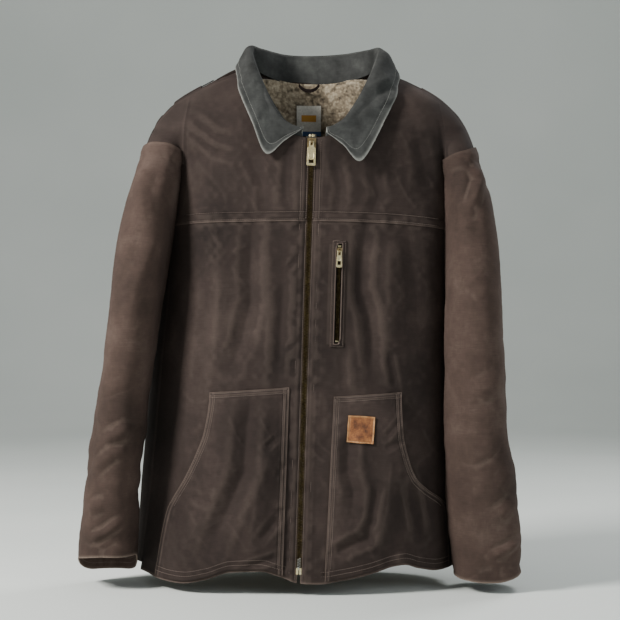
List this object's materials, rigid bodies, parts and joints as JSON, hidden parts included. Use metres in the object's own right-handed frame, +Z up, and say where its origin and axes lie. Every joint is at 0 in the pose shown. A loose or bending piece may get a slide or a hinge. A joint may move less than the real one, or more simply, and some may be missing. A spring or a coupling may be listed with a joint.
{
  "type": "insulated work jacket",
  "caption": "Hip-length zip-front canvas work jacket with a fleece lining, turned-down collar, curved hand pockets and a zipped chest pocket, in its hanging shape.",
  "frame": {"origin": "middle of the neck opening, where a hanger's arms leave it", "axes": "+Z up, -Y out of the front, +X towards the wearer's left"},
  "size_m": [0.711, 0.257, 0.8778],
  "materials": {
    "canvas": "sandstone-washed dark brown cotton duck, matt, paler where it is worn",
    "collar_cloth": "charcoal brushed cotton, matt, paler at the edges",
    "fleece": "beige curly pile fleece",
    "quilted_lining": "dark quilted sleeve lining, slight sheen",
    "rib_knit": "dark brown rib knit",
    "zip_tape": "dark brown woven tape",
    "brass": "pale brass, lightly worn",
    "aged_brass": "antique brass",
    "leather": "cognac leather, scuffed",
    "label_cloth": "off-white woven label"
  },
  "bodies": {
    "root": {"back_panel": "canvas", "back_yoke": "canvas", "right_front_panel": "canvas", "left_front_panel": "canvas", "right_front_yoke": "canvas", "left_front_yoke": "canvas", "right_front_facing": "canvas", "left_front_facing": "canvas", "right_hand_pocket": "canvas", "left_hand_pocket": "canvas", "chest_pocket_welt": "canvas", "chest_pocket_bag": "canvas", "hang_loop": "canvas", "collar_stand": "collar_cloth", "under_collar": "collar_cloth", "top_collar": "collar_cloth", "back_lining": "fleece", "right_front_lining": "fleece", "left_front_lining": "fleece", "left_zip_tape": "zip_tape", "right_zip_tape": "zip_tape", "chest_left_zip_tape": "zip_tape", "chest_right_zip_tape": "zip_tape", "left_zip_teeth": "brass", "right_zip_teeth": "brass", "chest_left_zip_teeth": "brass", "chest_right_zip_teeth": "brass", "left_top_stop": "brass", "right_top_stop": "brass", "retainer_box": "brass", "insertion_pin": "brass", "chest_top_stop": "brass", "chest_bottom_stop": "brass", "leather_patch": "leather", "neck_label": "label_cloth", "size_tab": "label_cloth"},
    "main_slider": {"main_slider": "aged_brass"},
    "main_pull": {"main_pull": "brass"},
    "chest_slider": {"chest_slider": "aged_brass"},
    "chest_pull": {"chest_pull": "brass"},
    "left_sleeve": {"left_sleeve": "canvas", "left_sleeve_lining": "quilted_lining", "left_storm_cuff": "rib_knit"},
    "right_sleeve": {"right_sleeve": "canvas", "right_sleeve_lining": "quilted_lining", "right_storm_cuff": "rib_knit"}
  },
  "joints": [
    {"name": "main_zip_slide", "type": "slide", "parent": "root", "child": "main_slider", "axis": [0.0302, 0.0652, 0.9974], "range_m": [-0.66, 0]},
    {"name": "main_pull_flip", "type": "hinge", "parent": "main_slider", "child": "main_pull", "pos_m": [0.00279, -0.08868, -0.11408], "axis": [-0.9995, 0, 0.0303], "range_deg": [0, 120]},
    {"name": "chest_zip_slide", "type": "slide", "parent": "root", "child": "chest_slider", "axis": [0.0299, 0.0602, 0.9977], "range_m": [-0.132, 0]},
    {"name": "chest_pull_flip", "type": "hinge", "parent": "chest_slider", "child": "chest_pull", "pos_m": [0.04709, -0.09991, -0.29024], "axis": [-0.9995, -0.0126, 0.0307], "range_deg": [0, 120]},
    {"name": "left_sleeve_swing", "type": "hinge", "parent": "root", "child": "left_sleeve", "pos_m": [0.273, 0, -0.131], "axis": [0, -1, 0], "range_deg": [0, 45]},
    {"name": "right_sleeve_swing", "type": "hinge", "parent": "root", "child": "right_sleeve", "pos_m": [-0.279, 0, -0.131], "axis": [0, 1, 0], "range_deg": [0, 45]}
  ]
}
